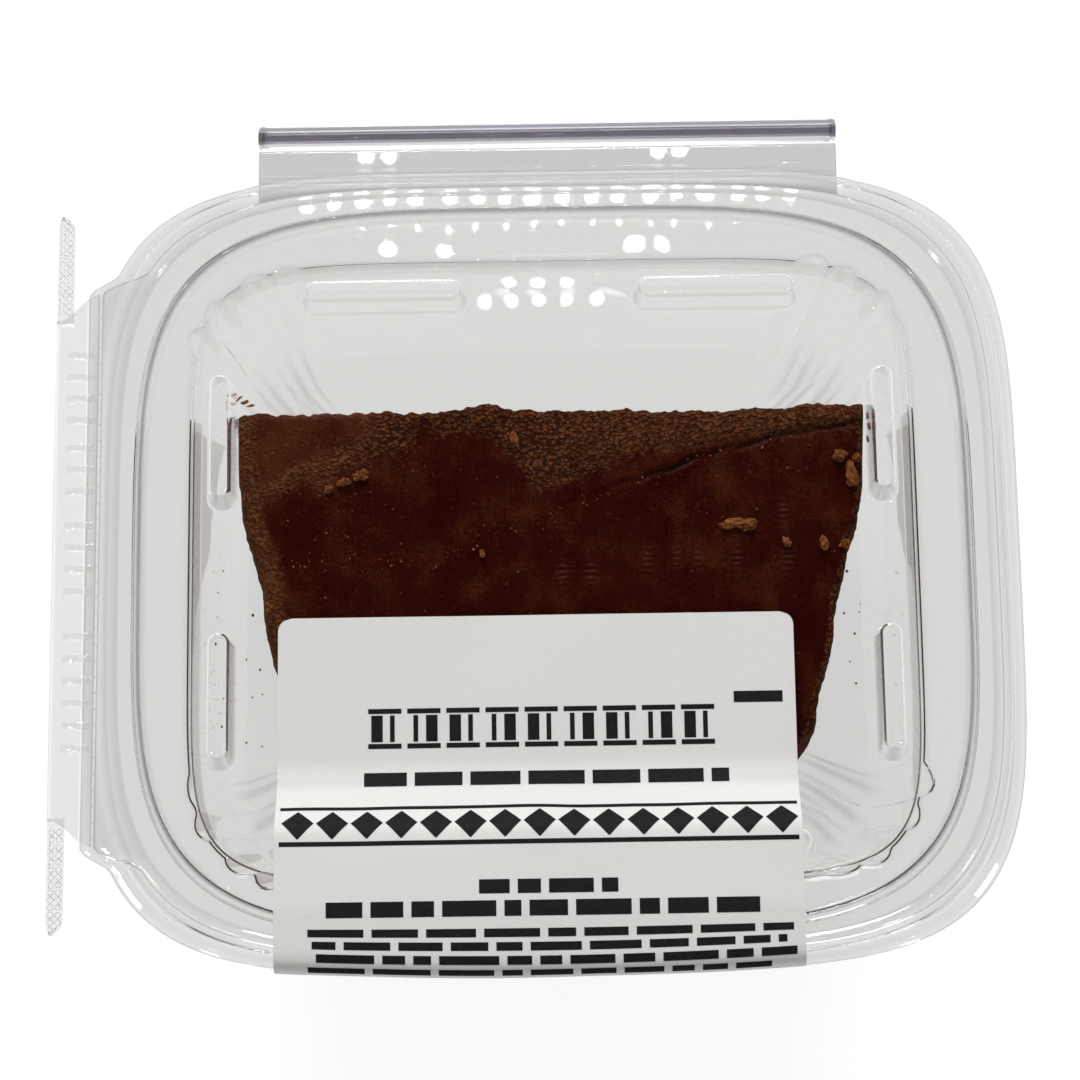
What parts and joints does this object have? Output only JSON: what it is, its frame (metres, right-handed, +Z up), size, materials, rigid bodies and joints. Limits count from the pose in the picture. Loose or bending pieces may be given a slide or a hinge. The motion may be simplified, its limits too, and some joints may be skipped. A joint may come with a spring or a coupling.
{
  "type": "chocolate fudge in a clear hinged pack",
  "caption": "Slab of chocolate fudge wedged in a clear plastic pack with a ribbed hinged lid, a folded tear strip down one side and a paper label over the front.",
  "frame": {"origin": "middle of the flat underside of the tub, on the surface the pack stands on", "axes": "+Z up through the lid, +X to the right along the pack's long side, +Y to the rear, where the hinge is; the label is at the front (-Y) and the tear strip at the left (-X)"},
  "size_m": [0.1427, 0.1303, 0.0396],
  "materials": {
    "clear_film": "clear thermoformed polyester film, high gloss",
    "fudge": "dark chocolate fudge, waxy cut face with knife marks, porous crumbly edge; matte plastic stands in for the food",
    "paper_label": "white uncoated paper with black print bars"
  },
  "bodies": {
    "base": {"tub": "clear_film", "hinge_fold": "clear_film", "fudge": "fudge"},
    "lid": {"lid": "clear_film", "tear_strip": "clear_film", "label": "paper_label"}
  },
  "joints": [
    {"name": "lid_hinge", "type": "hinge", "parent": "base", "child": "lid", "pos_m": [0, 0.0666, 0.0374], "axis": [-1, 0, 0], "range_deg": [0, 180]}
  ]
}
